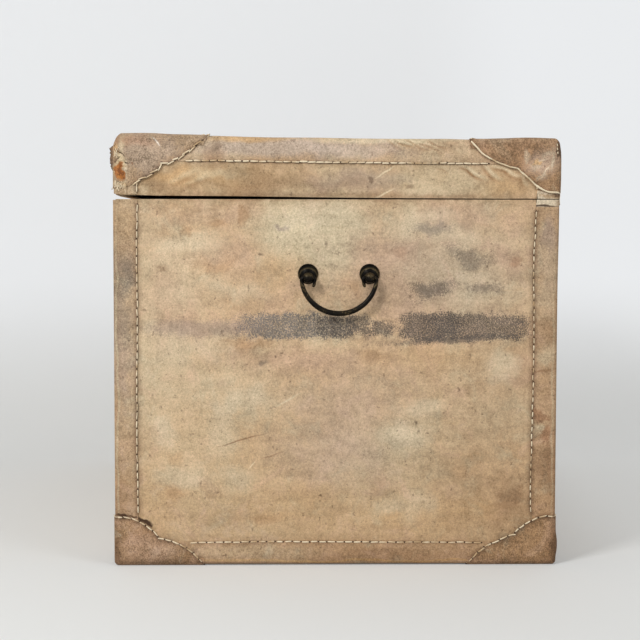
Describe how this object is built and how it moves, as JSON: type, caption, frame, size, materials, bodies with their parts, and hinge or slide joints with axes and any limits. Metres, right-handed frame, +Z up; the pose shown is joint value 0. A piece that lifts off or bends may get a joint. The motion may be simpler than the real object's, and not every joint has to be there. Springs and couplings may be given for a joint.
{
  "type": "blanket chest",
  "caption": "Rectangular storage chest of jointed boards covered in stitched parchment, with a hinged lid, cusped corner patches and a loose bail handle on each end.",
  "frame": {"origin": "centre of the chest's footprint on the floor", "axes": "+Z up, X along the length with the pictured end at +X, the front and the lid's opening side at -Y, the hinge at +Y"},
  "size_m": [0.788, 0.5, 0.479],
  "materials": {
    "board_wood": "bare softwood, aged",
    "panel_parchment": "worn parchment, matt, stained",
    "strip_parchment": "worn parchment strip, hand stitched",
    "patch_parchment": "scuffed parchment patch, hand stitched",
    "hinge_parchment": "pale flexible parchment",
    "dark_bronze": "cast, dark brown patina"
  },
  "bodies": {
    "chest": {"chest_front_board": "board_wood", "chest_right_board": "board_wood", "chest_back_board": "board_wood", "chest_left_board": "board_wood", "chest_bottom_board": "board_wood", "chest_front_panel": "panel_parchment", "chest_right_panel": "panel_parchment", "chest_back_panel": "panel_parchment", "chest_left_panel": "panel_parchment", "chest_front_left_strip": "strip_parchment", "chest_front_right_strip": "strip_parchment", "chest_back_right_strip": "strip_parchment", "chest_back_left_strip": "strip_parchment", "base_front_strip": "strip_parchment", "base_right_strip": "strip_parchment", "base_back_strip": "strip_parchment", "base_left_strip": "strip_parchment", "chest_front_left_patch": "patch_parchment", "chest_front_right_patch": "patch_parchment", "chest_back_right_patch": "patch_parchment", "chest_back_left_patch": "patch_parchment", "hinge_strip_chest": "hinge_parchment", "right_posts": "dark_bronze", "right_rosettes": "dark_bronze", "right_washers": "dark_bronze", "left_posts": "dark_bronze", "left_rosettes": "dark_bronze", "left_washers": "dark_bronze"},
    "lid": {"lid_front_rail": "board_wood", "lid_right_rail": "board_wood", "lid_back_rail": "board_wood", "lid_left_rail": "board_wood", "lid_top_board": "board_wood", "lid_front_panel": "panel_parchment", "lid_right_panel": "panel_parchment", "lid_back_panel": "panel_parchment", "lid_left_panel": "panel_parchment", "lid_top_panel": "panel_parchment", "lid_front_left_strip": "strip_parchment", "lid_front_right_strip": "strip_parchment", "lid_back_right_strip": "strip_parchment", "lid_back_left_strip": "strip_parchment", "lid_front_edge_strip": "strip_parchment", "lid_right_edge_strip": "strip_parchment", "lid_back_edge_strip": "strip_parchment", "lid_left_edge_strip": "strip_parchment", "lid_front_left_patch": "patch_parchment", "lid_front_right_patch": "patch_parchment", "lid_back_right_patch": "patch_parchment", "lid_back_left_patch": "patch_parchment", "hinge_strip_lid": "hinge_parchment"},
    "right_bail": {"right_bail": "dark_bronze"},
    "left_bail": {"left_bail": "dark_bronze"}
  },
  "joints": [
    {"name": "lid_hinge", "type": "hinge", "parent": "chest", "child": "lid", "pos_m": [0, 0.25, 0.4102], "axis": [-1, 0, 0], "range_deg": [0, 180]},
    {"name": "right_bail_swing", "type": "hinge", "parent": "chest", "child": "right_bail", "pos_m": [0.388, 0.003, 0.3234], "axis": [0, -1, 0], "range_deg": [-10, 190]},
    {"name": "left_bail_swing", "type": "hinge", "parent": "chest", "child": "left_bail", "pos_m": [-0.388, 0.003, 0.3234], "axis": [0, 1, 0], "range_deg": [-10, 190]}
  ]
}
